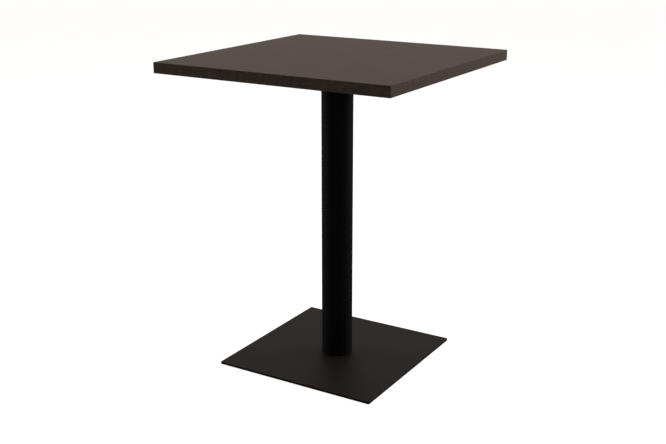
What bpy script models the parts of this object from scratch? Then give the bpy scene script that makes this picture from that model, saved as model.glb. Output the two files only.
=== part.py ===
"""Bistro table: a square laminated top on one round steel column and a flat square steel floor plate.

Frame: origin on the floor under the middle of the column, +Z up, X and Y along the sides of the top.
The front edge of the top is at -Y. Everything is in metres.

How it comes apart: eight wood screws hold the mounting plate under the board. Four countersunk bolts go down
through the mounting plate into a boss in the head of the column, and four more go up through the floor plate
into a boss in its foot. Four glides screw into the floor plate from below, near its corners, to level the table.
"""

import math

import bmesh
import bpy
from mathutils import Matrix, Vector

# Driving dimensions.
TABLE_HEIGHT = 0.755
TOP_SIDE = 0.600
TOP_THICKNESS = 0.025
LAMINATE = 0.0008
EDGE_BAND = 0.002
EDGE_ROUND = 0.0010
MOUNT_SIDE = 0.300
MOUNT_THICKNESS = 0.005
MOUNT_CORNER = 0.022
COLUMN_DIAMETER = 0.076
COLUMN_WALL = 0.002
BOSS_HEIGHT = 0.012
BASE_SIDE = 0.420
BASE_THICKNESS = 0.006
BASE_CORNER = 0.0025
GLIDE_INSET = 0.035

# Gaps between pieces that touch, and between the levelling stud and what it turns in.
GAP = 0.0003
RUN_GAP = 0.0001

# Countersunk M8 socket bolt, 16 mm long.
BOLT_CIRCLE = 0.046
BOLT_RADIUS = 0.004
BOLT_HEAD_RADIUS = 0.0079
BOLT_HEAD_LAND = 0.0004
BOLT_LENGTH = 0.016
BOLT_CHAMFER = 0.0008
BOLT_SOCKET_ACROSS = 0.005
BOLT_SOCKET_DEPTH = 0.003

# Pan-headed wood screw, 4.5 x 20 mm.
SCREW_RADIUS = 0.00225
SCREW_HEAD_RADIUS = 0.0044
SCREW_HEAD_HEIGHT = 0.0026
SCREW_HEAD_SIDE = 0.0006
SCREW_LENGTH = 0.020
SCREW_POINT = 0.004
SCREW_SLOT_LENGTH = 0.0046
SCREW_SLOT_WIDTH = 0.001
SCREW_SLOT_DEPTH = 0.0009
SCREW_PLACE = 0.130

# Levelling glide: a nylon pad that clips round the foot of an M8 stud, which a spanner turns by its collar.
PAD_RADIUS = 0.015
PAD_HEIGHT = 0.0029
PAD_FLOOR = 0.0008
PAD_LIP = 0.0009
PAD_CHAMFER = 0.0008
STUD_RADIUS = 0.004
STUD_NECK_RADIUS = 0.0035
STUD_FOOT_RADIUS = 0.006
STUD_FOOT_HEIGHT = 0.001
STUD_REACH = 0.0042
STUD_CHAMFER = 0.0006
STUD_HOLE_DEPTH = 0.0046
COLLAR_ACROSS = 0.013
COLLAR_HEIGHT = 0.001

ROUND_STEPS = 64
SMALL_STEPS = 20
SCREW_STEPS = 12
DOME_STEPS = 3
EDGE_STEPS = 3
MERGE_DISTANCE = 0.00001
CUT_OVERRUN = 0.002

# Levels, from the floor up.
COLLAR_BOTTOM = PAD_HEIGHT + RUN_GAP
COLLAR_TOP = COLLAR_BOTTOM + COLLAR_HEIGHT
BASE_BOTTOM = COLLAR_TOP + GAP
BASE_TOP = BASE_BOTTOM + BASE_THICKNESS
COLUMN_BOTTOM = BASE_TOP + GAP
BOARD_BOTTOM = TABLE_HEIGHT - TOP_THICKNESS
MOUNT_TOP = BOARD_BOTTOM - GAP
MOUNT_BOTTOM = MOUNT_TOP - MOUNT_THICKNESS
COLUMN_TOP = MOUNT_BOTTOM - GAP
INNER_SIDE = TOP_SIDE - 2 * (EDGE_BAND + GAP)
CORE_BOTTOM = BOARD_BOTTOM + LAMINATE + GAP
CORE_TOP = TABLE_HEIGHT - LAMINATE - GAP

SQUARE = [(-1, -1), (1, -1), (1, 1), (-1, 1)]
CROSS = [(0, -1), (1, 0), (0, 1), (-1, 0)]


def clear_scene():
    for old in list(bpy.data.objects):
        bpy.data.objects.remove(old)


def collection(name):
    made = bpy.data.collections.new(name)
    bpy.context.scene.collection.children.link(made)
    return made


def material(name, colour, roughness, metallic=0.0):
    made = bpy.data.materials.new(name)
    made.use_nodes = True
    shader = made.node_tree.nodes["Principled BSDF"]
    shader.inputs["Base Color"].default_value = (*colour, 1.0)
    shader.inputs["Roughness"].default_value = roughness
    shader.inputs["Metallic"].default_value = metallic
    return made


def add(name, mesh, finish, place=(0, 0, 0), flip=False):
    """One named object on a mesh; flip turns it upside down about X."""
    made = bpy.data.objects.new(name, mesh)
    made.location = place
    if flip:
        made.rotation_euler = (math.pi, 0, 0)
    if not mesh.materials:
        mesh.materials.append(finish)
    PARTS.objects.link(made)
    return made


def shade(mesh, degrees=35):
    mesh.shade_smooth()
    mesh.set_sharp_from_angle(angle=math.radians(degrees))


def block(name, size, corner=0.0, corner_steps=4):
    """A box centred on its origin, with its four upright edges rounded."""
    form = bmesh.new()
    bmesh.ops.create_cube(form, size=1)
    bmesh.ops.scale(form, vec=Vector(size), verts=form.verts)
    if corner:
        upright = [e for e in form.edges if abs(e.verts[0].co.z - e.verts[1].co.z) > size[2] / 2]
        bmesh.ops.bevel(
            form,
            geom=upright,
            offset=corner,
            segments=corner_steps,
            profile=0.5,
            affect="EDGES",
            material=-1,
        )
    mesh = bpy.data.meshes.new(name)
    form.to_mesh(mesh)
    form.free()
    return mesh


def turned(name, profile, steps, closed=False):
    """A profile of (radius, height) points turned about Z; it runs down the outer side."""
    mesh = bpy.data.meshes.new(name + "_profile")
    rim = [(i, i + 1) for i in range(len(profile) - 1)]
    if closed:
        rim.append((len(profile) - 1, 0))
    mesh.from_pydata([(r, 0, z) for r, z in profile], rim, [])
    maker = bpy.data.objects.new(name + "_maker", mesh)
    bpy.context.scene.collection.objects.link(maker)
    screw = maker.modifiers.new("turn", "SCREW")
    screw.steps = steps
    screw.render_steps = steps
    screw.use_merge_vertices = True
    screw.merge_threshold = MERGE_DISTANCE
    return baked(maker, name)


def baked(maker, name):
    """The evaluated mesh of a helper object, which is then removed."""
    bpy.context.view_layer.update()
    graph = bpy.context.evaluated_depsgraph_get()
    mesh = bpy.data.meshes.new_from_object(maker.evaluated_get(graph))
    mesh.name = name
    bpy.data.objects.remove(maker)
    return mesh


def cylinder(name, radius, height, steps, base=0.0):
    """A solid cylinder that stands on height base."""
    top = base + height
    return turned(name, [(0, top), (radius, top), (radius, base), (0, base)], steps)


def hexagon(name, across, height, base=0.0):
    """A hexagonal prism that stands on height base, measured across its flats."""
    form = bmesh.new()
    bmesh.ops.create_cone(
        form,
        cap_ends=True,
        segments=6,
        radius1=across / math.sqrt(3),
        radius2=across / math.sqrt(3),
        depth=height,
        matrix=Matrix.Translation((0, 0, base + height / 2)),
    )
    mesh = bpy.data.meshes.new(name)
    form.to_mesh(mesh)
    form.free()
    return mesh


def cutter(name, mesh, place=(0, 0, 0), flip=False):
    made = bpy.data.objects.new(name, mesh)
    made.location = place
    if flip:
        made.rotation_euler = (math.pi, 0, 0)
    made.hide_render = True
    made.display_type = "WIRE"
    CUTTERS.objects.link(made)
    return made


def carve(mesh, tools, operation="DIFFERENCE"):
    """The mesh with every tool taken out of it, or joined to it by a UNION."""
    maker = bpy.data.objects.new(mesh.name + "_maker", mesh)
    bpy.context.scene.collection.objects.link(maker)
    for tool in tools:
        cut = maker.modifiers.new(tool.name, "BOOLEAN")
        cut.operation = operation
        cut.object = tool
    name = mesh.name
    mesh.name = name + "_blank"
    return baked(maker, name)


def bolt_profile():
    """Half section of the countersunk bolt, its head's face up at z = 0."""
    cone_end = -(BOLT_HEAD_LAND + BOLT_HEAD_RADIUS - BOLT_RADIUS)
    return [
        (0, 0),
        (BOLT_HEAD_RADIUS, 0),
        (BOLT_HEAD_RADIUS, -BOLT_HEAD_LAND),
        (BOLT_RADIUS, cone_end),
        (BOLT_RADIUS, BOLT_CHAMFER - BOLT_LENGTH),
        (BOLT_RADIUS - BOLT_CHAMFER, -BOLT_LENGTH),
        (0, -BOLT_LENGTH),
    ]


def sink_profile():
    """Half section of the hole that takes the bolt, a gap wider all round and open above z = 0."""
    cone_end = -(BOLT_HEAD_LAND + BOLT_HEAD_RADIUS - BOLT_RADIUS)
    return [
        (0, CUT_OVERRUN),
        (BOLT_HEAD_RADIUS + GAP, CUT_OVERRUN),
        (BOLT_HEAD_RADIUS + GAP, -BOLT_HEAD_LAND),
        (BOLT_RADIUS + GAP, cone_end),
        (BOLT_RADIUS + GAP, -BOLT_LENGTH),
        (0, -BOLT_LENGTH),
    ]


def bolt_places():
    return [Vector((x, y, 0)).normalized() * BOLT_CIRCLE / 2 for x, y in SQUARE]


def screw_places():
    return [Vector((x, y, 0)) * SCREW_PLACE for x, y in SQUARE + CROSS]


def glide_places():
    reach = BASE_SIDE / 2 - GLIDE_INSET
    return [Vector((x, y, 0)) * reach for x, y in SQUARE]


def lifted(place, height):
    return (place.x, place.y, height)


def placed_cutters(name, mesh, places, height, flip=False):
    return [
        cutter(f"{name}_{i}", mesh, (p.x, p.y, height), flip)
        for i, p in enumerate(places, 1)
    ]


def make_board():
    """Chipboard core between two laminate sheets, drilled from below for the wood screws."""
    drill_end = MOUNT_TOP - CUT_OVERRUN
    core_middle = (CORE_TOP + CORE_BOTTOM) / 2
    core_size = (INNER_SIDE, INNER_SIDE, CORE_TOP - CORE_BOTTOM)
    pilots = placed_cutters("core_pilot", PILOT, screw_places(), drill_end - core_middle)
    core = carve(block("board_core", core_size), pilots)
    add("board_core", core, CHIPBOARD, (0, 0, core_middle))
    sheet_size = (INNER_SIDE, INNER_SIDE, LAMINATE)
    under_middle = BOARD_BOTTOM + LAMINATE / 2
    pilots = placed_cutters("sheet_pilot", PILOT, screw_places(), drill_end - under_middle)
    under = carve(block("under_laminate", sheet_size), pilots)
    add("under_laminate", under, BACKER, (0, 0, under_middle))
    top = block("top_laminate", sheet_size)
    add("top_laminate", top, DECOR, (0, 0, TABLE_HEIGHT - LAMINATE / 2))


def edge_band(name, length):
    """An upright strip along X whose outer face is at -Y, with its long outer edges eased."""
    size = (length, EDGE_BAND, TOP_THICKNESS)
    form = bmesh.new()
    bmesh.ops.create_cube(form, size=1)
    bmesh.ops.scale(form, vec=Vector(size), verts=form.verts)
    outer = [
        e
        for e in form.edges
        if all(v.co.y < 0 for v in e.verts) and e.verts[0].co.x != e.verts[1].co.x
    ]
    bmesh.ops.bevel(
        form,
        geom=outer,
        offset=EDGE_ROUND,
        segments=EDGE_STEPS,
        profile=0.5,
        affect="EDGES",
        material=-1,
    )
    mesh = bpy.data.meshes.new(name)
    form.to_mesh(mesh)
    form.free()
    return mesh


def make_edges():
    """The side bands run the whole depth of the top, and the front and back bands fit between them."""
    middle = BOARD_BOTTOM + TOP_THICKNESS / 2
    out = (TOP_SIDE - EDGE_BAND) / 2
    between = TOP_SIDE - 2 * (EDGE_BAND + GAP)
    sides = [
        ("edge_front", between, 0, (0, -out)),
        ("edge_right", TOP_SIDE, 90, (out, 0)),
        ("edge_back", between, 180, (0, out)),
        ("edge_left", TOP_SIDE, 270, (-out, 0)),
    ]
    for name, length, turn, (x, y) in sides:
        band = add(name, edge_band(name, length), DECOR, (x, y, middle))
        band.rotation_euler = (0, 0, math.radians(turn))


def make_mounting_plate():
    """Square steel plate with clipped corners, drilled for the wood screws and countersunk for the bolts."""
    middle = (MOUNT_TOP + MOUNT_BOTTOM) / 2
    size = (MOUNT_SIDE, MOUNT_SIDE, MOUNT_THICKNESS)
    half = MOUNT_THICKNESS / 2
    tools = placed_cutters("screw_hole", PILOT, screw_places(), -half - CUT_OVERRUN)
    tools += placed_cutters("head_sink", BOLT_HOLE, bolt_places(), half)
    plate = carve(block("mounting_plate", size, MOUNT_CORNER, corner_steps=1), tools)
    add("mounting_plate", plate, COATED_STEEL, (0, 0, middle))


def make_boss(name, bottom):
    """Round steel plug welded into the tube's end, with four tapped holes right through it."""
    radius = COLUMN_DIAMETER / 2 - COLUMN_WALL - GAP
    through = BOSS_HEIGHT + 2 * CUT_OVERRUN
    hole = cylinder(name + "_hole", BOLT_RADIUS + GAP, through, SMALL_STEPS, -CUT_OVERRUN)
    tools = placed_cutters(name + "_hole", hole, bolt_places(), 0)
    plug = carve(cylinder(name, radius, BOSS_HEIGHT, ROUND_STEPS), tools)
    shade(plug)
    add(name, plug, BARE_STEEL, (0, 0, bottom))


def make_column():
    outer = COLUMN_DIAMETER / 2
    inner = outer - COLUMN_WALL
    tall = COLUMN_TOP - COLUMN_BOTTOM
    wall = [(inner, tall), (outer, tall), (outer, 0), (inner, 0)]
    tube = turned("column_tube", wall, ROUND_STEPS, closed=True)
    shade(tube)
    add("column_tube", tube, COATED_STEEL, (0, 0, COLUMN_BOTTOM))
    make_boss("column_head_boss", COLUMN_TOP - BOSS_HEIGHT)
    make_boss("column_foot_boss", COLUMN_BOTTOM)


def make_floor_plate():
    """Flat steel square; all its holes open below: four countersunk for the column, four tapped for glides."""
    middle = (BASE_TOP + BASE_BOTTOM) / 2
    half = BASE_THICKNESS / 2
    tools = placed_cutters("foot_sink", BOLT_HOLE, bolt_places(), -half, flip=True)
    tapped = cylinder(
        "glide_hole",
        STUD_RADIUS,
        STUD_HOLE_DEPTH + CUT_OVERRUN,
        SMALL_STEPS,
        -half - CUT_OVERRUN,
    )
    tools += placed_cutters("glide_hole", tapped, glide_places(), 0)
    size = (BASE_SIDE, BASE_SIDE, BASE_THICKNESS)
    plate = carve(block("floor_plate", size, BASE_CORNER), tools)
    add("floor_plate", plate, COATED_STEEL, (0, 0, middle))


def make_bolts():
    """Eight of the same bolt: heads up in the mounting plate, and heads down in the floor plate."""
    deep = BOLT_SOCKET_DEPTH
    socket = hexagon("bolt_socket", BOLT_SOCKET_ACROSS, deep + CUT_OVERRUN, -deep)
    bolt = carve(turned("countersunk_bolt", bolt_profile(), SMALL_STEPS), [cutter("bolt_socket", socket)])
    shade(bolt)
    for i, place in enumerate(bolt_places(), 1):
        add(f"head_bolt_{i}", bolt, ZINC, lifted(place, MOUNT_TOP))
        add(f"foot_bolt_{i}", bolt, ZINC, lifted(place, BASE_BOTTOM), flip=True)


def pan_head():
    """Half section of the wood screw's head below z = 0: a short straight side, then a quarter ellipse."""
    dome = SCREW_HEAD_HEIGHT - SCREW_HEAD_SIDE
    points = [(SCREW_HEAD_RADIUS, 0)]
    for i in range(DOME_STEPS):
        angle = math.pi / 2 * i / DOME_STEPS
        points.append((SCREW_HEAD_RADIUS * math.cos(angle), -SCREW_HEAD_SIDE - dome * math.sin(angle)))
    return points + [(0, -SCREW_HEAD_HEIGHT)]


def make_wood_screws():
    """Pan-headed screws, head down under the mounting plate, with a cross recess."""
    profile = [(0, SCREW_LENGTH), (SCREW_RADIUS, SCREW_LENGTH - SCREW_POINT), (SCREW_RADIUS, 0)] + pan_head()
    along = block("slot_along", (SCREW_SLOT_LENGTH, SCREW_SLOT_WIDTH, 2 * SCREW_SLOT_DEPTH))
    across = block("slot_across", (SCREW_SLOT_WIDTH, SCREW_SLOT_LENGTH, 2 * SCREW_SLOT_DEPTH))
    tools = [cutter(mesh.name, mesh, (0, 0, -SCREW_HEAD_HEIGHT)) for mesh in (along, across)]
    screw = carve(turned("wood_screw", profile, SCREW_STEPS), tools)
    shade(screw)
    for i, place in enumerate(screw_places(), 1):
        add(f"wood_screw_{i}", screw, ZINC, lifted(place, MOUNT_BOTTOM - GAP))


def make_glides():
    """A stud that turns in the floor plate, and a pad clipped round the stud's foot."""
    pocket_radius = STUD_FOOT_RADIUS + GAP
    mouth_radius = STUD_NECK_RADIUS + GAP
    lip_bottom = PAD_HEIGHT - PAD_LIP
    pad = turned(
        "glide_pad",
        [
            (0, PAD_FLOOR),
            (pocket_radius, PAD_FLOOR),
            (pocket_radius, lip_bottom),
            (mouth_radius, lip_bottom),
            (mouth_radius, PAD_HEIGHT),
            (PAD_RADIUS - PAD_CHAMFER, PAD_HEIGHT),
            (PAD_RADIUS, PAD_HEIGHT - PAD_CHAMFER),
            (PAD_RADIUS, 0),
            (0, 0),
        ],
        SMALL_STEPS,
    )
    shade(pad)
    foot_bottom = PAD_FLOOR + RUN_GAP
    foot_top = foot_bottom + STUD_FOOT_HEIGHT
    stud_top = BASE_BOTTOM + STUD_REACH
    step = COLLAR_BOTTOM + COLLAR_HEIGHT / 2
    # The shank is 0.2 mm clear of the tapped hole all round, so that it can turn in it.
    shank = STUD_RADIUS - 2 * RUN_GAP
    blank = turned(
        "glide_stud",
        [
            (0, stud_top),
            (shank - STUD_CHAMFER, stud_top),
            (shank, stud_top - STUD_CHAMFER),
            (shank, step),
            (STUD_NECK_RADIUS, step),
            (STUD_NECK_RADIUS, foot_top),
            (STUD_FOOT_RADIUS, foot_top),
            (STUD_FOOT_RADIUS, foot_bottom),
            (0, foot_bottom),
        ],
        SMALL_STEPS,
    )
    collar = cutter("stud_collar", hexagon("stud_collar", COLLAR_ACROSS, COLLAR_HEIGHT, COLLAR_BOTTOM))
    stud = carve(blank, [collar], "UNION")
    shade(stud)
    for i, place in enumerate(glide_places(), 1):
        add(f"glide_pad_{i}", pad, NYLON, lifted(place, 0))
        add(f"glide_stud_{i}", stud, ZINC, lifted(place, 0))


clear_scene()
PARTS = collection("bistro_table")
CUTTERS = collection("cutters")
DECOR = material("brown_laminate", (0.055, 0.043, 0.037), 0.45)
BACKER = material("backing_laminate", (0.045, 0.038, 0.033), 0.55)
CHIPBOARD = material("chipboard", (0.48, 0.35, 0.22), 0.9)
COATED_STEEL = material("black_powder_coat", (0.012, 0.012, 0.012), 0.5)
BARE_STEEL = material("bare_steel", (0.45, 0.45, 0.46), 0.4, 1.0)
ZINC = material("zinc_plated_steel", (0.55, 0.55, 0.56), 0.35, 1.0)
NYLON = material("black_nylon", (0.02, 0.02, 0.02), 0.6)
PILOT = cylinder("pilot", SCREW_RADIUS + GAP, SCREW_LENGTH, SCREW_STEPS)
BOLT_HOLE = turned("bolt_hole", sink_profile(), SMALL_STEPS)

make_board()
make_edges()
make_mounting_plate()
make_wood_screws()
make_column()
make_bolts()
make_floor_plate()
make_glides()
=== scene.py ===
"""Looks of the bistro table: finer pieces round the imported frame, their finishes, and a studio."""

import math

import bmesh
import bpy
from mathutils import Matrix, Vector


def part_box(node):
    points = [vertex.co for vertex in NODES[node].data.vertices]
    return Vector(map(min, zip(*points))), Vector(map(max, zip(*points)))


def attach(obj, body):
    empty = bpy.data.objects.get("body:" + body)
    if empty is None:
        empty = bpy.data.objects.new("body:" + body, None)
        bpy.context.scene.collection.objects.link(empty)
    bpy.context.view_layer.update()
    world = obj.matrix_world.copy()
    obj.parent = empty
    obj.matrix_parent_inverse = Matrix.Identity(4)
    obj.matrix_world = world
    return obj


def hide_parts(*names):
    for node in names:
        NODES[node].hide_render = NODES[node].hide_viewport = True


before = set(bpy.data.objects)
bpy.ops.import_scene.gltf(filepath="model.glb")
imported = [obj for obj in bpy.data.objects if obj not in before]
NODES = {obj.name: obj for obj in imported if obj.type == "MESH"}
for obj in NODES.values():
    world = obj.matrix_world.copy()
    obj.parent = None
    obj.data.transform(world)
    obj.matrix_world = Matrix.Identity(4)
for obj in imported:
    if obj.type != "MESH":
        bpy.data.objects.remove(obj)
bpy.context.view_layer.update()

FRAME_BODY = "frame"
X, Y = 0, 1

# Fine sizes of the pieces, in metres.
SEAT = 0.00027            # how far a piece reaches into the gap to the one that it touches
BAND_ROUND = 0.0009       # rounding of the edge bands' outer edges and of the top's corners
BAND_STEPS = 5
SHEET_EASE = 0.00015      # easing of the decor sheet's rim
SHEET_STEPS = 2
PLATE_ROUND = 0.0004      # deburred edges of the steel plates
PLATE_STEPS = 3
PLATE_CORNER = 0.0022
PLATE_CORNER_STEPS = 6
MOUNT_CORNER = 0.022      # straight clipped corners of the mounting plate
TUBE_WALL = 0.002
TUBE_ROUND = 0.0004
TUBE_ROUND_STEPS = 3
HOLE_CLEAR = 0.0003       # room round a bolt or a screw in its hole
TAPPED_RADIUS = 0.004     # the glides' blind holes
TAPPED_DEPTH = 0.0046
OVERRUN = 0.002           # how far a cutting tool reaches past the face it cuts

# Countersunk socket bolts.
BOLT_HEAD_RADIUS = 0.0078
BOLT_LAND = 0.0005
BOLT_EASE = 0.0002
BOLT_RADIUS = 0.0040
BOLT_ROOT = 0.0034
BOLT_PITCH = 0.00125
BOLT_LENGTH = 0.0158
BOLT_CONE = BOLT_LAND + BOLT_HEAD_RADIUS - BOLT_RADIUS
BOLT_SOCKET_ACROSS = 0.005
BOLT_SOCKET_DEPTH = 0.0028

# Pan-headed wood screws.
SCREW_HEAD_RADIUS = 0.0044
SCREW_HEAD_HEIGHT = 0.0026
SCREW_HEAD_SIDE = 0.0006
SCREW_DOME_STEPS = 8
SCREW_RADIUS = 0.00225
SCREW_ROOT = 0.0016
SCREW_PITCH = 0.0018
SCREW_POINT = 0.004       # length of the tapered point
SCREW_TIP = 0.08          # share of the width left at its very tip
SCREW_SLOT_LENGTH = 0.0048
SCREW_SLOT_WIDTH = 0.0010
SCREW_SLOT_DEPTH = 0.0010

# Levelling glides.
STUD_CREST = 0.0038
STUD_ROOT = 0.0033
STUD_NECK = 0.0035
STUD_FOOT = 0.0060
STUD_FOOT_HEIGHT = 0.001
STUD_EASE = 0.0002
COLLAR_ACROSS = 0.013
COLLAR_ABOVE_PAD = 0.0001
COLLAR_UNDER_PLATE = 0.0003
COLLAR_EASE = 0.0003
COLLAR_STEPS = 2
PAD_LIP = 0.0009
PAD_LIP_EASE = 0.0002
PAD_FLOOR = 0.0008
PAD_CLEAR = 0.0003        # room round the stud's foot and neck in the pad
PAD_GRIP = 0.0004         # depth of the grooves round the pad
PAD_ROUND = 0.0005
PAD_STEPS_PER_RIB = 4

# How finely the pieces are cut.
TURN_STEPS = 48
TUBE_STEPS = 192
PAD_STEPS = 144
THREAD_STEPS = 24
THREAD_LEAD = 1.37        # pitches cut off a thread's start, so that no corner lies on the cut
THREAD_MERGE = 0.003      # corners nearer than this share of the pitch are merged
THREAD_WELD = 0.01        # the same, where one turn meets the next
THREAD_RIDGE = (          # one turn's outline: 0 at the root or 1 at the crest, and the part of the pitch
    (0, 0),
    (0, 0.2),
    (1, 0.45),
    (1, 0.55),
    (0, 0.8),
    (0, 1),
)
NEAR = 0.00001            # two levels closer than this are one
MERGE = 0.000003          # two corners closer than this are merged
SHARP_ANGLE = 40
PLATE_SHARP_ANGLE = 30

# Colours of the pieces, as linear light.
BROWN = (0.0560, 0.0360, 0.0278)
EDGE_BROWN = (0.103, 0.0765, 0.0635)
BACKING = (0.045, 0.039, 0.035)
# The plates' black carries a warm brown cast: painted warm light from above. The tube's black below is the
# coat's own neutral tone.
BLACK_WITH_PAINTED_WARM_LIGHT = (0.0078, 0.0050, 0.0037)
TUBE_BLACK = (0.0085, 0.0082, 0.0080)
RUBBED_COAT = (0.0927, 0.0900, 0.0873, 1)
LIGHT_DUST = (0.495, 0.450, 0.405, 1)
DARK_DUST = (0.2875, 0.2500, 0.2125, 1)
ZINC_GREY = (0.62, 0.64, 0.66, 1)
STEEL_GREY = (0.50, 0.49, 0.47, 1)
DARK_CHIP = (0.36, 0.23, 0.12, 1)
PALE_CHIP = (0.62, 0.46, 0.28, 1)
CHIP_GAP = (0.20, 0.12, 0.06, 1)
NYLON_DARK = (0.010, 0.010, 0.010, 1)
NYLON_LIGHT = (0.020, 0.020, 0.020, 1)
SCUFF = (0.052, 0.050, 0.048, 1)

# Shares and sizes in their patterns.
GRAIN_X = (1, 6, 6)       # grain along X: squeezed in the other two directions
GRAIN_Y = (6, 1, 6)
GRAIN_DRIFT = 0.02        # how far a streak wanders off its line
PORES_PER_STREAK = 6.0
PORE_SHADE = 0.62
RUBBED_SHADE = 1.7
DULL_SHADE = 0.7
CHIPS_PER_METRE = (260, 260, 620)
SCUFF_HEIGHT = 0.0012
MIX_COLOUR_INPUTS = (0, 6, 7)
MIX_COLOUR_OUTPUT = 2

# Camera, aimed down at the table from its front right.
CAMERA_PLACE = (1.2256, -2.0484, 1.0937)
CAMERA_TILT = 17.31
CAMERA_TURN = 31.14
CAMERA_LENS = 55.32

# The studio.
FLOOR_SIZE = 60.0
FLOOR_GREY = (0.25, 0.25, 0.25, 1)
PALE = (1.0, 0.992, 0.98, 1)
PALE_GLOW = 0.97
AIR = (1, 0.99, 0.98, 1)
AIR_GLOW = 0.11
LIGHTS = (
    # name, place, aim, width, height, watts, tint
    ("overhead", (-0.5, 0.9, 3.2), (0, 0, 0.4), 3.4, 3.4, 47, (1, 0.97, 0.94)),
    ("back_right", (1.89, 2.33, 1.5), (0, 0, 0.5), 1.6, 1.6, 64, (1, 0.95, 0.91)),
    ("back_left", (-2.94, -0.57, 1.5), (0, 0, 0.5), 1.6, 1.6, 50, (1, 0.96, 0.93)),
    ("front_wall", (1.92, -2.85, 1.1), (0, 0, 0.5), 3.0, 1.6, 3, (1, 0.97, 0.94)),
    ("back_wall", (-1.92, 2.85, 1.1), (0, 0, 0.5), 3.0, 1.6, 9, (1, 0.88, 0.74)),
)


# ---------------------------------------------------------------- mesh helpers

def box_form(low, high):
    """A box between two corners, in place."""
    form = bmesh.new()
    bmesh.ops.create_cube(form, size=1)
    bmesh.ops.scale(form, vec=high - low, verts=form.verts)
    bmesh.ops.translate(form, vec=(high + low) / 2, verts=form.verts)
    return form


def soften(form, edges, width, steps):
    """Rounds edges, or eases them flat when there is one step."""
    bmesh.ops.bevel(
        form,
        geom=edges,
        offset=width,
        segments=steps,
        profile=0.5,
        affect="EDGES",
        material=-1,
    )


def span(edge):
    """The edge as a vector."""
    return edge.verts[1].co - edge.verts[0].co


def upright(form):
    """Edges that run straight up."""
    return [e for e in form.edges if span(e).xy.length < NEAR]


def rims(form, height):
    """Edges of the level outline at a height."""
    return [e for e in form.edges if all(abs(v.co.z - height) < NEAR for v in e.verts)]


def spun(points, steps, closed=False):
    """A turned form from a half section of (radius, height) points, around Z."""
    form = bmesh.new()
    verts = [form.verts.new((r, 0, z)) for r, z in points]
    pairs = list(zip(verts, verts[1:]))
    if closed:
        pairs.append((verts[-1], verts[0]))
    edges = [form.edges.new(pair) for pair in pairs]
    bmesh.ops.spin(
        form,
        geom=verts + edges,
        cent=(0, 0, 0),
        axis=(0, 0, 1),
        angle=2 * math.pi,
        steps=steps,
        use_merge=True,
    )
    bmesh.ops.remove_doubles(form, verts=form.verts, dist=MERGE)
    bmesh.ops.recalc_face_normals(form, faces=form.faces)
    return form


def thread(crest, root, pitch, low, high, point=0.0):
    """A right-handed thread between two levels, with flat ends; point tapers the upper end to a tip."""
    start = low - THREAD_LEAD * pitch
    turns = math.ceil((high - start) / pitch) + 1
    form = bmesh.new()
    verts = [
        form.verts.new((crest if raised else root, 0, start + part * pitch))
        for raised, part in THREAD_RIDGE
    ]
    edges = [form.edges.new(pair) for pair in zip(verts, verts[1:])]
    bmesh.ops.spin(
        form,
        geom=verts + edges,
        cent=(0, 0, 0),
        axis=(0, 0, 1),
        dvec=(0, 0, pitch / THREAD_STEPS),
        angle=2 * math.pi * turns,
        steps=THREAD_STEPS * turns,
        use_merge=False,
    )
    bmesh.ops.remove_doubles(form, verts=form.verts, dist=pitch * THREAD_WELD)
    for level, side in ((low, -1), (high, 1)):
        everything = form.verts[:] + form.edges[:] + form.faces[:]
        bmesh.ops.bisect_plane(
            form,
            geom=everything,
            plane_co=(0, 0, level),
            plane_no=(0, 0, side),
            clear_outer=True,
        )
        bmesh.ops.holes_fill(form, edges=rims(form, level), sides=0)
    bmesh.ops.remove_doubles(form, verts=form.verts, dist=pitch * THREAD_MERGE)
    if point:
        for v in form.verts:
            narrow = min(1.0, SCREW_TIP + (high - v.co.z) / point)
            v.co.x *= narrow
            v.co.y *= narrow
    bmesh.ops.recalc_face_normals(form, faces=form.faces)
    return form


def hexagon(across, low, high, ease=0.0):
    """A six-sided bar around Z, measured across its flats."""
    corner = across / math.sqrt(3)
    form = bmesh.new()
    bmesh.ops.create_cone(
        form,
        cap_ends=True,
        segments=6,
        radius1=corner,
        radius2=corner,
        depth=high - low,
        matrix=Matrix.Translation((0, 0, (low + high) / 2)),
    )
    if ease:
        soften(form, upright(form), ease, COLLAR_STEPS)
    return form


def as_mesh(form, name):
    mesh = bpy.data.meshes.new(name)
    form.to_mesh(mesh)
    form.free()
    return mesh


def joined(name, forms):
    """One mesh from several closed forms."""
    whole = bmesh.new()
    for form in forms:
        part = as_mesh(form, name + "_part")
        whole.from_mesh(part)
        bpy.data.meshes.remove(part)
    return as_mesh(whole, name)


def moved(mesh, name, place, over=False):
    """A copy of a mesh at a place, turned over about X if asked."""
    copy = mesh.copy()
    copy.name = name
    turn = Matrix.Rotation(math.pi, 4, "X") if over else Matrix.Identity(4)
    copy.transform(Matrix.Translation(place) @ turn)
    return copy


def carved(mesh, tools):
    """The mesh with each tool mesh taken out of it."""
    name = mesh.name
    helpers = [bpy.data.objects.new(name + "_blank", mesh)]
    helpers += [bpy.data.objects.new(tool.name, tool) for tool in tools]
    for helper in helpers:
        bpy.context.scene.collection.objects.link(helper)
    for helper in helpers[1:]:
        cut = helpers[0].modifiers.new(helper.name, "BOOLEAN")
        cut.operation = "DIFFERENCE"
        cut.object = helper
    bpy.context.view_layer.update()
    graph = bpy.context.evaluated_depsgraph_get()
    result = bpy.data.meshes.new_from_object(helpers[0].evaluated_get(graph))
    for helper in helpers:
        spent = helper.data
        bpy.data.objects.remove(helper)
        bpy.data.meshes.remove(spent)
    form = bmesh.new()
    form.from_mesh(result)
    bpy.data.meshes.remove(result)
    bmesh.ops.remove_doubles(form, verts=form.verts, dist=MERGE)
    return as_mesh(form, name)


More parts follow.
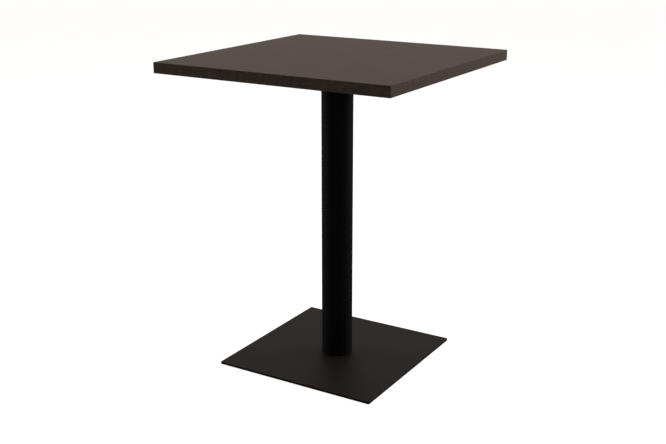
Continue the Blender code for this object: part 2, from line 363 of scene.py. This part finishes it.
def piece(mesh, look, node, body=FRAME_BODY, sharp=SHARP_ANGLE):
    """A shown piece that stands for a CAD node and rides on its body."""
    mesh.materials.clear()
    mesh.materials.append(look)
    mesh.shade_smooth()
    mesh.set_sharp_from_angle(angle=math.radians(sharp))
    made = bpy.data.objects.new(mesh.name, mesh)
    bpy.context.scene.collection.objects.link(made)
    even = made.modifiers.new("even shading", "WEIGHTED_NORMAL")
    even.keep_sharp = True
    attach(made, body)
    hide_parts(node)


def carried_over(node, look):
    """A CAD node whose own shape is shown, with a finish of its own."""
    mesh = NODES[node].data
    mesh.materials.clear()
    mesh.materials.append(look)


def middle(node):
    low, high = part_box(node)
    return (low + high) / 2


def numbered(name):
    """The frame's nodes of one kind, in order."""
    return sorted(node for node in NODES if node.startswith(name + "_") and node[len(name) + 1:].isdigit())


# ---------------------------------------------------------------- finishes

class Nodes:
    """Short names for adding and wiring shader nodes in one tree."""

    def __init__(self, tree):
        self.tree = tree
        tree.nodes.clear()

    def add(self, kind, **settings):
        """A node of a kind, such as "Math", with its settings."""
        node = self.tree.nodes.new("ShaderNode" + kind)
        for key, value in settings.items():
            setattr(node, key, value)
        return node

    def wire(self, source, target):
        self.tree.links.new(source, target)

    def feed(self, target, value):
        """Wires a socket's output to the target, or sets the target to a plain value."""
        if hasattr(value, "is_output"):
            self.wire(value, target)
        else:
            target.default_value = value

    def noise(self, vector, scale, detail=3.0, rough=0.55):
        """Cloudy values about 0.5."""
        node = self.add("TexNoise")
        self.wire(vector, node.inputs["Vector"])
        self.feed(node.inputs["Scale"], scale)
        node.inputs["Detail"].default_value = detail
        node.inputs["Roughness"].default_value = rough
        return node.outputs["Fac"]

    def math(self, operation, a, b):
        node = self.add("Math", operation=operation)
        self.feed(node.inputs[0], a)
        self.feed(node.inputs[1], b)
        return node.outputs["Value"]

    def blended(self, parts):
        """The sum of values, each times its share."""
        total = None
        for value, share in parts:
            term = self.math("MULTIPLY", value, share)
            total = self.math("ADD", total, term) if total else term
        return total

    def ramp(self, value, low, high, to_low=0.0, to_high=1.0):
        """The value spread from low..high to to_low..to_high, and held there."""
        node = self.add("MapRange")
        names = ("Value", "From Min", "From Max", "To Min", "To Max")
        for key, setting in zip(names, (value, low, high, to_low, to_high)):
            self.feed(node.inputs[key], setting)
        return node.outputs["Result"]

    def mix(self, share, a, b):
        """A colour between a and b."""
        node = self.add("Mix", data_type="RGBA")
        share_socket, a_socket, b_socket = (node.inputs[i] for i in MIX_COLOUR_INPUTS)
        self.feed(share_socket, share)
        self.feed(a_socket, a)
        self.feed(b_socket, b)
        return node.outputs[MIX_COLOUR_OUTPUT]

    def offset(self, operation, a, b):
        """A vector plus or minus another."""
        node = self.add("VectorMath", operation=operation)
        self.feed(node.inputs[0], a)
        self.feed(node.inputs[1], b)
        return node.outputs["Vector"]

    def stretched(self, vector, scale):
        """A pattern's place, squeezed along each axis by its scale."""
        node = self.add("Mapping")
        self.wire(vector, node.inputs["Vector"])
        node.inputs["Scale"].default_value = scale
        return node.outputs["Vector"]

    def parts(self, vector):
        """The X, Y and Z of a vector."""
        node = self.add("SeparateXYZ")
        self.wire(vector, node.inputs["Vector"])
        return [node.outputs[axis] for axis in "XYZ"]


def group(name, inputs, outputs):
    """A shader node group with named sockets: its tree, its nodes, what comes in and what goes out."""
    tree = bpy.data.node_groups.new(name, "ShaderNodeTree")
    nodes = Nodes(tree)
    for label, kind, default in inputs:
        socket = tree.interface.new_socket(label, in_out="INPUT", socket_type="NodeSocket" + kind)
        if kind == "Float":
            socket.default_value = default
    for label, kind in outputs:
        tree.interface.new_socket(label, in_out="OUTPUT", socket_type="NodeSocket" + kind)
    entry = tree.nodes.new("NodeGroupInput")
    leave = tree.nodes.new("NodeGroupOutput")
    return tree, nodes, entry.outputs, leave.inputs


def mottle_group():
    """Three sizes of mottle, each about 0.5 with its own scale: fine speckle, flecks and soft clouds."""
    tree, n, given, out = group(
        "mottle",
        [
            ("Vector", "Vector", None),
            ("Speckle Scale", "Float", 1500.0),
            ("Fleck Scale", "Float", 260.0),
            ("Cloud Scale", "Float", 40.0),
        ],
        [("Speckle", "Float"), ("Fleck", "Float"), ("Cloud", "Float")],
    )
    n.wire(n.noise(given["Vector"], given["Speckle Scale"], detail=2.0), out["Speckle"])
    n.wire(n.noise(given["Vector"], given["Fleck Scale"], detail=2.0), out["Fleck"])
    n.wire(n.noise(given["Vector"], given["Cloud Scale"], detail=4.0), out["Cloud"])
    return tree


def grain_group():
    """Fine streaks and pores along one axis, as printed on decor; Vector comes in already stretched."""
    tree, n, given, out = group(
        "printed_grain",
        [("Vector", "Vector", None), ("Scale", "Float", 60.0)],
        [("Streak", "Float"), ("Pore", "Float")],
    )
    drift = n.noise(given["Vector"], 7.0, detail=2.0)
    shift = n.add("CombineXYZ")
    n.wire(n.math("MULTIPLY", drift, GRAIN_DRIFT), shift.inputs["Y"])
    bent = n.offset("ADD", given["Vector"], shift.outputs["Vector"])
    streak = n.noise(bent, given["Scale"], detail=5.0, rough=0.65)
    n.wire(n.ramp(streak, 0.3, 0.7), out["Streak"])
    pore = n.noise(bent, n.math("MULTIPLY", given["Scale"], PORES_PER_STREAK), detail=2.0)
    n.wire(n.ramp(pore, 0.62, 0.72), out["Pore"])
    return tree


def box_edge_group():
    """Edge is a ragged mask along a box's edges; Vector is from its middle, and Half its half size."""
    tree, n, given, out = group(
        "box_edges",
        [("Vector", "Vector", None), ("Half", "Vector", None), ("Width", "Float", 0.001)],
        [("Edge", "Float")],
    )
    apart = n.add("VectorMath", operation="ABSOLUTE")
    n.wire(given["Vector"], apart.inputs[0])
    left = n.parts(n.offset("SUBTRACT", given["Half"], apart.outputs["Vector"]))
    worn = n.noise(given["Vector"], 220.0, detail=4.0, rough=0.7)
    width = n.math("MULTIPLY", given["Width"], n.ramp(worn, 0.35, 0.65, 0.2, 1.4))
    close = [n.ramp(distance, width, 0.0) for distance in left]
    pairs = [n.math("MULTIPLY", close[i], close[i - 1]) for i in range(len(close))]
    n.wire(n.math("MAXIMUM", n.math("MAXIMUM", pairs[0], pairs[1]), pairs[2]), out["Edge"])
    return tree


def coat_group():
    """Powder coat's skin: Height is fine grit over slow orange peel, Grit is the grit alone."""
    tree, n, given, out = group(
        "powder_skin",
        [("Vector", "Vector", None), ("Grit Scale", "Float", 2600.0), ("Peel Scale", "Float", 420.0)],
        [("Height", "Float"), ("Grit", "Float")],
    )
    grit = n.noise(given["Vector"], given["Grit Scale"], detail=2.0, rough=0.5)
    peel = n.noise(given["Vector"], given["Peel Scale"], detail=1.0, rough=0.4)
    n.wire(n.blended([(grit, 0.6), (peel, 0.4)]), out["Height"])
    n.wire(grit, out["Grit"])
    return tree


def dust_group():
    """A thin, patchy film with a few motes, only on what faces up."""
    tree, n, given, out = group(
        "dust",
        [("Vector", "Vector", None), ("Amount", "Float", 0.1)],
        [("Film", "Float")],
    )
    upward = n.parts(n.add("NewGeometry").outputs["Normal"])[2]
    patch = n.ramp(n.noise(given["Vector"], 26.0, detail=6.0, rough=0.6), 0.3, 0.75, 0.35, 1.0)
    motes = n.ramp(n.noise(given["Vector"], 1900.0, detail=1.0), 0.66, 0.72, 0.0, 0.6)
    level = n.ramp(upward, 0.8, 1.0)
    film = n.math("MULTIPLY", n.math("ADD", patch, motes), level)
    n.wire(n.math("MULTIPLY", film, given["Amount"]), out["Film"])
    return tree


MOTTLE = mottle_group()
GRAIN = grain_group()
BOX_EDGES = box_edge_group()
POWDER_SKIN = coat_group()
DUST = dust_group()


def finish(name):
    """An empty material: itself, its nodes, its shader's inputs and a place on the object."""
    made = bpy.data.materials.new(name)
    made.use_nodes = True
    n = Nodes(made.node_tree)
    shader = n.add("BsdfPrincipled")
    output = n.add("OutputMaterial")
    n.wire(shader.outputs["BSDF"], output.inputs["Surface"])
    place = n.add("TexCoord").outputs["Object"]
    return made, n, shader.inputs, place


def use(n, tree, vector, **values):
    """Places a node group and sets its inputs; a name's underscores stand for spaces."""
    node = n.add("Group", node_tree=tree)
    n.wire(vector, node.inputs["Vector"])
    for key, value in values.items():
        n.feed(node.inputs[key.replace("_", " ")], value)
    return node.outputs


def edge_wear(n, place, low, high, width):
    """The worn edges of a box between two corners."""
    place = n.offset("SUBTRACT", place, (low + high) / 2)
    return use(n, BOX_EDGES, place, Half=(high - low) / 2, Width=width)["Edge"]


def bump(n, inputs, height, strength, distance):
    node = n.add("Bump")
    node.inputs["Strength"].default_value = strength
    node.inputs["Distance"].default_value = distance
    n.wire(height, node.inputs["Height"])
    n.wire(node.outputs["Normal"], inputs["Normal"])


def shaded(tone, factor):
    """A colour, darker or lighter by a factor."""
    return tuple(factor * c for c in tone[:3]) + (1,)


def laminate(name, tone, along, streaks, spread, rough, gloss):
    """Printed decor: along stretches its grain, streaks is the grain's share, spread the contrast."""
    made, n, inputs, place = finish(name)
    mottle = use(n, MOTTLE, place, Speckle_Scale=800.0, Fleck_Scale=110.0, Cloud_Scale=22.0)
    grain = use(n, GRAIN, n.stretched(place, along), Scale=70.0)
    specks = n.blended([(mottle["Speckle"], 0.55), (mottle["Fleck"], 0.38), (mottle["Cloud"], 0.07)])
    share = n.blended([(n.ramp(specks, 0.38, 0.62), 1 - streaks), (grain["Streak"], streaks)])
    pores = n.math("MULTIPLY", grain["Pore"], streaks)
    wear = edge_wear(n, place, TOP_LOW, TOP_HIGH, width=0.0011)
    film = use(n, DUST, place, Amount=0.01)["Film"]
    colour = n.mix(share, shaded(tone, 1 - spread), shaded(tone, 1 + spread))
    colour = n.mix(pores, colour, shaded(tone, PORE_SHADE))
    colour = n.mix(n.math("MULTIPLY", wear, 0.35), colour, shaded(tone, RUBBED_SHADE))
    colour = n.mix(film, colour, LIGHT_DUST)
    n.wire(colour, inputs["Base Color"])
    rubbed = n.ramp(mottle["Cloud"], 0.3, 0.7, rough - 0.015, rough + 0.02)
    n.wire(n.math("ADD", rubbed, n.math("MULTIPLY", mottle["Speckle"], 0.06)), inputs["Roughness"])
    bump(n, inputs, n.math("SUBTRACT", mottle["Speckle"], pores), strength=0.25, distance=0.00008)
    inputs["Specular IOR Level"].default_value = gloss
    return made


def powder_coat(name, tone, low, high, gloss, dust):
    """Fine-grained powder coat on a plate or a tube between two corners."""
    made, n, inputs, place = finish(name)
    skin = use(n, POWDER_SKIN, place)
    mottle = use(n, MOTTLE, place, Fleck_Scale=230.0, Cloud_Scale=14.0)
    share = n.blended([(skin["Grit"], 0.40), (mottle["Fleck"], 0.35), (mottle["Cloud"], 0.25)])
    wear = edge_wear(n, place, low, high, width=0.0009)
    film = use(n, DUST, place, Amount=dust)["Film"]
    colour = n.mix(n.ramp(share, 0.38, 0.62), shaded(tone, 0.74), shaded(tone, 1.26))
    colour = n.mix(n.math("MULTIPLY", wear, 0.30), colour, RUBBED_COAT)
    colour = n.mix(film, colour, DARK_DUST)
    n.wire(colour, inputs["Base Color"])
    rough = n.ramp(skin["Grit"], 0.3, 0.7, 0.50, 0.62)
    n.wire(n.math("ADD", rough, n.math("MULTIPLY", film, 0.8)), inputs["Roughness"])
    bump(n, inputs, skin["Height"], strength=0.45, distance=0.00012)
    inputs["Specular IOR Level"].default_value = gloss
    return made


def bright_steel(name, tone, rough, along):
    """Bare or plated steel with fine tool marks along an axis and a few dull patches."""
    made, n, inputs, place = finish(name)
    marks = n.noise(n.stretched(place, along), 900.0)
    mottle = use(n, MOTTLE, place, Cloud_Scale=160.0)
    dull = n.ramp(mottle["Cloud"], 0.45, 0.7)
    n.wire(n.mix(n.math("MULTIPLY", dull, 0.5), tone, shaded(tone, DULL_SHADE)), inputs["Base Color"])
    worn = n.ramp(marks, 0.3, 0.7, rough - 0.07, rough + 0.07)
    n.wire(n.math("ADD", worn, n.math("MULTIPLY", dull, 0.15)), inputs["Roughness"])
    bump(n, inputs, marks, strength=0.2, distance=0.00005)
    inputs["Metallic"].default_value = 1.0
    return made


def chipboard():
    """Pressed wood chips that lie flat: cells of several browns with dark gaps."""
    made, n, inputs, place = finish("chipboard_core")
    cells = n.add("TexVoronoi")
    n.wire(n.stretched(place, CHIPS_PER_METRE), cells.inputs["Vector"])
    cells.inputs["Scale"].default_value = 1.0
    tint = n.add("SeparateColor")
    n.wire(cells.outputs["Color"], tint.inputs["Color"])
    gaps = n.ramp(cells.outputs["Distance"], 0.45, 0.75)
    colour = n.mix(tint.outputs["Red"], DARK_CHIP, PALE_CHIP)
    colour = n.mix(n.math("MULTIPLY", gaps, 0.6), colour, CHIP_GAP)
    n.wire(colour, inputs["Base Color"])
    inputs["Roughness"].default_value = 0.9
    bump(n, inputs, n.math("SUBTRACT", tint.outputs["Green"], gaps), strength=0.5, distance=0.0003)
    return made


def nylon():
    """Moulded black nylon with a fine spark texture and scuffs near the floor."""
    made, n, inputs, place = finish("moulded_nylon")
    mottle = use(n, MOTTLE, place, Speckle_Scale=3200.0, Cloud_Scale=220.0)
    low = n.ramp(n.parts(place)[2], SCUFF_HEIGHT, 0.0)
    scuff = n.math("MULTIPLY", low, n.ramp(mottle["Cloud"], 0.45, 0.6))
    colour = n.mix(n.ramp(mottle["Speckle"], 0.3, 0.7), NYLON_DARK, NYLON_LIGHT)
    colour = n.mix(scuff, colour, SCUFF)
    n.wire(colour, inputs["Base Color"])
    n.wire(n.ramp(mottle["Speckle"], 0.3, 0.7, 0.45, 0.65), inputs["Roughness"])
    bump(n, inputs, mottle["Speckle"], strength=0.3, distance=0.00006)
    return made


TOP_LOW = Vector((*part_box("edge_left")[0].xy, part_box("under_laminate")[0].z))
TOP_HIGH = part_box("edge_right")[1]
PLATE_LOW, PLATE_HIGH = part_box("floor_plate")
MOUNT_LOW, MOUNT_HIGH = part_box("mounting_plate")
TUBE_LOW, TUBE_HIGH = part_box("column_tube")

DECOR = laminate("brown_decor", BROWN, GRAIN_X, streaks=0.25, spread=0.36, rough=0.50, gloss=0.15)
BAND_X = laminate("brown_edging_x", EDGE_BROWN, GRAIN_X, streaks=0.55, spread=0.50, rough=0.55, gloss=0.05)
BAND_Y = laminate("brown_edging_y", EDGE_BROWN, GRAIN_Y, streaks=0.55, spread=0.50, rough=0.55, gloss=0.05)
BACKER = laminate("backing_sheet", BACKING, GRAIN_X, streaks=0.10, spread=0.15, rough=0.62, gloss=0.15)
# The two plates' coats use the warm-cast black, which is painted warm light and not the coat's own tone.
COAT_PLATE = powder_coat("black_coat_plate_painted_warm", BLACK_WITH_PAINTED_WARM_LIGHT, PLATE_LOW, PLATE_HIGH, gloss=0.16, dust=0.003)
COAT_MOUNT = powder_coat("black_coat_mount_painted_warm", BLACK_WITH_PAINTED_WARM_LIGHT, MOUNT_LOW, MOUNT_HIGH, gloss=0.30, dust=0.0)
COAT_TUBE = powder_coat("black_coat_tube", TUBE_BLACK, TUBE_LOW, TUBE_HIGH, gloss=0.055, dust=0.0)
ZINC = bright_steel("zinc_plating", ZINC_GREY, rough=0.32, along=(1, 1, 12))
BARE = bright_steel("turned_steel", STEEL_GREY, rough=0.38, along=(1, 1, 20))
CHIPS = chipboard()
NYLON = nylon()


# ---------------------------------------------------------------- the top

def make_sheet():
    """The decor sheet reaches the edge bands but for a hairline, with its rim just eased."""
    low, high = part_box("top_laminate")
    reach = Vector((SEAT, SEAT, 0))
    form = box_form(low - reach, high + reach)
    soften(form, rims(form, high.z), SHEET_EASE, SHEET_STEPS)
    piece(as_mesh(form, "decor_sheet"), DECOR, "top_laminate")


def outer_edges(form, axis, face):
    """The edges of a band to round: along its outer face and, on a left or right band, its ends' too."""
    outer = [e for e in form.edges if all(abs(v.co[axis] - face) < NEAR for v in e.verts)]
    along_x = [e for e in form.edges if abs(span(e).x) > NEAR]
    if axis == X:
        return outer + along_x
    return [e for e in outer if e in along_x]


def make_band(side, axis, sign, look):
    """One edge band, seated on the core behind it; the left and right bands also turn the top's corners."""
    low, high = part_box("edge_" + side)
    if sign < 0:
        high[axis] += SEAT
    else:
        low[axis] -= SEAT
    if axis == Y:
        low.x -= SEAT
        high.x += SEAT
    form = box_form(low, high)
    face = low[axis] if sign < 0 else high[axis]
    soften(form, outer_edges(form, axis, face), BAND_ROUND, BAND_STEPS)
    piece(as_mesh(form, "edging_" + side), look, "edge_" + side)


def make_top():
    make_sheet()
    make_band("front", Y, -1, BAND_X)
    make_band("back", Y, 1, BAND_X)
    make_band("left", X, -1, BAND_Y)
    make_band("right", X, 1, BAND_Y)
    carried_over("board_core", CHIPS)
    carried_over("under_laminate", BACKER)


# ---------------------------------------------------------------- fasteners

def countersunk_bolt():
    """Socket bolt, head's face up at z = 0: chamfered head, cone, and a threaded shank."""
    head = spun(
        [
            (0, 0),
            (BOLT_HEAD_RADIUS - BOLT_EASE, 0),
            (BOLT_HEAD_RADIUS, -BOLT_EASE),
            (BOLT_HEAD_RADIUS, -BOLT_LAND),
            (BOLT_RADIUS, -BOLT_CONE),
            (BOLT_ROOT, -BOLT_CONE - BOLT_EASE),
            (0, -BOLT_CONE - BOLT_EASE),
        ],
        TURN_STEPS,
    )
    socket = as_mesh(hexagon(BOLT_SOCKET_ACROSS, -BOLT_SOCKET_DEPTH, OVERRUN), "socket")
    sunk = bmesh.new()
    sunk.from_mesh(carved(as_mesh(head, "bolt_head"), [socket]))
    shank = thread(BOLT_RADIUS, BOLT_ROOT, BOLT_PITCH, -BOLT_LENGTH, -BOLT_CONE)
    return joined("socket_bolt", [sunk, shank])


def cross_recess():
    """Two crossed slots in the lowest part of a screw's head."""
    low = -SCREW_HEAD_HEIGHT - OVERRUN
    high = SCREW_SLOT_DEPTH - SCREW_HEAD_HEIGHT
    slots = []
    for x, y in ((SCREW_SLOT_LENGTH, SCREW_SLOT_WIDTH), (SCREW_SLOT_WIDTH, SCREW_SLOT_LENGTH)):
        form = box_form(Vector((-x / 2, -y / 2, low)), Vector((x / 2, y / 2, high)))
        slots.append(as_mesh(form, "slot"))
    return slots


def wood_screw():
    """Pan head below z = 0 with a cross recess, and a coarse tapering thread above."""
    dome = SCREW_HEAD_HEIGHT - SCREW_HEAD_SIDE
    outline = [(0, 0), (SCREW_HEAD_RADIUS, 0)]
    for i in range(SCREW_DOME_STEPS):
        angle = math.pi / 2 * i / SCREW_DOME_STEPS
        outline.append((SCREW_HEAD_RADIUS * math.cos(angle), -SCREW_HEAD_SIDE - dome * math.sin(angle)))
    outline.append((0, -SCREW_HEAD_HEIGHT))
    recessed = bmesh.new()
    recessed.from_mesh(carved(as_mesh(spun(outline, TURN_STEPS), "screw_head"), cross_recess()))
    low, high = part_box("wood_screw_1")
    length = high.z - low.z - SCREW_HEAD_HEIGHT
    shank = thread(SCREW_RADIUS, SCREW_ROOT, SCREW_PITCH, 0, length, SCREW_POINT)
    return joined("pan_screw", [recessed, shank])


def make_fasteners():
    bolt = countersunk_bolt()
    for node in numbered("head_bolt"):
        spot = (*middle(node).xy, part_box(node)[1].z)
        piece(moved(bolt, node + "_fine", spot), ZINC, node)
    for node in numbered("foot_bolt"):
        spot = (*middle(node).xy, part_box(node)[0].z)
        piece(moved(bolt, node + "_fine", spot, over=True), ZINC, node)
    screw = wood_screw()
    for node in numbered("wood_screw"):
        spot = (*middle(node).xy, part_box(node)[0].z + SCREW_HEAD_HEIGHT)
        piece(moved(screw, node + "_fine", spot), ZINC, node)


# ---------------------------------------------------------------- column and plates

def sink_tool():
    """The countersunk hole that takes a bolt, its mouth up at z = 0."""
    outline = [
        (0, OVERRUN),
        (BOLT_HEAD_RADIUS + HOLE_CLEAR, OVERRUN),
        (BOLT_HEAD_RADIUS + HOLE_CLEAR, -BOLT_LAND),
        (BOLT_RADIUS + HOLE_CLEAR, -BOLT_CONE),
        (BOLT_RADIUS + HOLE_CLEAR, -BOLT_LENGTH),
        (0, -BOLT_LENGTH),
    ]
    return as_mesh(spun(outline, TURN_STEPS), "sink")


def drill_tool(radius, depth):
    """A plain hole from below z = 0 up to a depth."""
    outline = [(0, depth), (radius, depth), (radius, -OVERRUN), (0, -OVERRUN)]
    return as_mesh(spun(outline, TURN_STEPS), "drill")


def set_tools(tool, kind, level, over=False):
    """A copy of a cutting tool under or over each fastener of a kind."""
    return [moved(tool, tool.name, (*middle(node).xy, level), over) for node in numbered(kind)]


def plate_form(low, high, corner, corner_steps):
    """A flat plate with its four corners cut and all its rims deburred."""
    form = box_form(low, high)
    soften(form, upright(form), corner, corner_steps)
    soften(form, rims(form, low.z) + rims(form, high.z), PLATE_ROUND, PLATE_STEPS)
    return form


def make_mounting_plate():
    blank = as_mesh(plate_form(MOUNT_LOW, MOUNT_HIGH, MOUNT_CORNER, 1), "fixing_plate")
    through = MOUNT_HIGH.z - MOUNT_LOW.z + OVERRUN
    tools = set_tools(sink_tool(), "head_bolt", MOUNT_HIGH.z)
    tools += set_tools(drill_tool(SCREW_RADIUS + HOLE_CLEAR, through), "wood_screw", MOUNT_LOW.z)
    plate = carved(blank, tools)
    piece(plate, COAT_MOUNT, "mounting_plate", sharp=PLATE_SHARP_ANGLE)


def make_floor_plate():
    blank = as_mesh(plate_form(PLATE_LOW, PLATE_HIGH, PLATE_CORNER, PLATE_CORNER_STEPS), "base_plate")
    tools = set_tools(sink_tool(), "foot_bolt", PLATE_LOW.z, over=True)
    tools += set_tools(drill_tool(TAPPED_RADIUS, TAPPED_DEPTH), "glide_stud", PLATE_LOW.z)
    plate = carved(blank, tools)
    piece(plate, COAT_PLATE, "floor_plate", sharp=PLATE_SHARP_ANGLE)


def make_column():
    """The tube, seated on both plates, with its four end edges deburred."""
    outer = TUBE_HIGH.x
    inner = outer - TUBE_WALL
    low = TUBE_LOW.z - SEAT
    high = TUBE_HIGH.z + SEAT
    form = spun([(inner, high), (outer, high), (outer, low), (inner, low)], TUBE_STEPS, closed=True)
    level = [e for e in form.edges if abs(span(e).z) < NEAR]
    rings = [e for e in level if abs(e.verts[0].co.xy.length - e.verts[1].co.xy.length) < NEAR]
    soften(form, rings, TUBE_ROUND, TUBE_ROUND_STEPS)
    piece(as_mesh(form, "column"), COAT_TUBE, "column_tube")
    carried_over("column_head_boss", BARE)
    carried_over("column_foot_boss", BARE)


# ---------------------------------------------------------------- glides

def groove_rim(form, radius):
    """Cuts grooves round a turned pad's side, half of each rib's width."""
    for v in form.verts:
        reach = v.co.xy.length
        index = round(math.atan2(v.co.y, v.co.x) / (2 * math.pi) * PAD_STEPS)
        if reach > radius and index % PAD_STEPS_PER_RIB < PAD_STEPS_PER_RIB / 2:
            v.co.xy *= (reach - PAD_GRIP) / reach


def glide_pad():
    """Nylon pad with a rolled rim, a ribbed grip round it and a lipped pocket for the stud's foot."""
    low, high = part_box("glide_pad_1")
    radius = (high.x - low.x) / 2
    tall = high.z - low.z
    pocket = STUD_FOOT + PAD_CLEAR
    mouth = STUD_NECK + PAD_CLEAR
    ease = PAD_ROUND
    outline = [
        (0, PAD_FLOOR),
        (pocket, PAD_FLOOR),
        (pocket, tall - PAD_LIP),
        (mouth, tall - PAD_LIP),
        (mouth, tall - PAD_LIP_EASE),
        (mouth + PAD_LIP_EASE, tall),
        (radius - 2 * ease, tall),
        (radius - 0.6 * ease, tall - 0.4 * ease),
        (radius, tall - 1.4 * ease),
        (radius, ease),
        (radius - 0.3 * ease, 0.3 * ease),
        (radius - ease, 0),
        (0, 0),
    ]
    form = spun(outline, PAD_STEPS)
    groove_rim(form, radius - 0.2 * ease)
    return as_mesh(form, "pad")


def glide_stud():
    """M8 stud: threaded above its hexagonal collar, with a neck and a flat foot below."""
    low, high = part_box("glide_stud_1")
    collar_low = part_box("glide_pad_1")[1].z + COLLAR_ABOVE_PAD
    collar_high = PLATE_LOW.z - COLLAR_UNDER_PLATE
    foot_top = low.z + STUD_FOOT_HEIGHT
    core = spun(
        [
            (0, collar_high),
            (STUD_NECK, collar_high),
            (STUD_NECK, foot_top),
            (STUD_FOOT - STUD_EASE, foot_top),
            (STUD_FOOT, foot_top - STUD_EASE),
            (STUD_FOOT, low.z + STUD_EASE),
            (STUD_FOOT - STUD_EASE, low.z),
            (0, low.z),
        ],
        TURN_STEPS,
    )
    collar = hexagon(COLLAR_ACROSS, collar_low, collar_high, COLLAR_EASE)
    shank = thread(STUD_CREST, STUD_ROOT, BOLT_PITCH, collar_high - STUD_EASE, high.z)
    return joined("stud", [core, collar, shank])


def make_glides():
    pad = glide_pad()
    stud = glide_stud()
    for node in numbered("glide_pad"):
        spot = (*middle(node).xy, 0)
        piece(moved(pad, node + "_fine", spot), NYLON, node, body=node)
    for node in numbered("glide_stud"):
        spot = (*middle(node).xy, 0)
        piece(moved(stud, node + "_fine", spot), ZINC, node, body=node)


# ---------------------------------------------------------------- the studio

def pale_floor():
    """Glows evenly from above, and is clear from below."""
    made = bpy.data.materials.new("pale_floor")
    made.use_nodes = True
    n = Nodes(made.node_tree)
    shader = n.add("BsdfPrincipled")
    shader.inputs["Base Color"].default_value = FLOOR_GREY
    shader.inputs["Roughness"].default_value = 0.9
    shader.inputs["Specular IOR Level"].default_value = 0.0
    shader.inputs["Emission Color"].default_value = PALE
    shader.inputs["Emission Strength"].default_value = PALE_GLOW
    sides = n.add("MixShader")
    output = n.add("OutputMaterial")
    n.wire(n.add("NewGeometry").outputs["Backfacing"], sides.inputs["Fac"])
    n.wire(shader.outputs["BSDF"], sides.inputs[1])
    n.wire(n.add("BsdfTransparent").outputs["BSDF"], sides.inputs[2])
    n.wire(sides.outputs["Shader"], output.inputs["Surface"])
    return made


def make_floor():
    form = bmesh.new()
    bmesh.ops.create_grid(form, x_segments=2, y_segments=2, size=FLOOR_SIZE / 2)
    mesh = as_mesh(form, "studio_floor")
    mesh.materials.append(pale_floor())
    floor = bpy.data.objects.new("studio_floor", mesh)
    bpy.context.scene.collection.objects.link(floor)
    floor.visible_diffuse = False
    floor.visible_glossy = False


def area_light(name, place, aim, width, height, watts, tint):
    data = bpy.data.lights.new(name, "AREA")
    data.shape = "RECTANGLE"
    data.size = width
    data.size_y = height
    data.energy = watts
    data.color = tint
    lamp = bpy.data.objects.new(name, data)
    lamp.location = place
    lamp.rotation_euler = (Vector(aim) - Vector(place)).to_track_quat("-Z", "Y").to_euler()
    lamp.visible_camera = False
    bpy.context.scene.collection.objects.link(lamp)


def background(n, colour, strength):
    node = n.add("Background")
    node.inputs["Color"].default_value = colour
    node.inputs["Strength"].default_value = strength
    return node.outputs["Background"]


def make_world():
    """Weak light from all round, behind a backdrop as pale as the floor."""
    world = bpy.data.worlds.new("studio_air")
    world.use_nodes = True
    n = Nodes(world.node_tree)
    seen = n.add("MixShader")
    output = n.add("OutputWorld")
    n.wire(n.add("LightPath").outputs["Is Camera Ray"], seen.inputs["Fac"])
    n.wire(background(n, AIR, AIR_GLOW), seen.inputs[1])
    n.wire(background(n, PALE, PALE_GLOW), seen.inputs[2])
    n.wire(seen.outputs["Shader"], output.inputs["Surface"])
    bpy.context.scene.world = world


def make_camera():
    data = bpy.data.cameras.new("camera")
    data.lens = CAMERA_LENS
    camera = bpy.data.objects.new("camera", data)
    camera.location = CAMERA_PLACE
    camera.rotation_euler = (math.radians(90 - CAMERA_TILT), 0, math.radians(CAMERA_TURN))
    bpy.context.scene.collection.objects.link(camera)
    bpy.context.scene.camera = camera
    bpy.context.scene.view_settings.view_transform = "Standard"


make_top()
make_column()
make_mounting_plate()
make_floor_plate()
make_fasteners()
make_glides()
make_floor()
for light in LIGHTS:
    area_light(*light)
make_world()
make_camera()
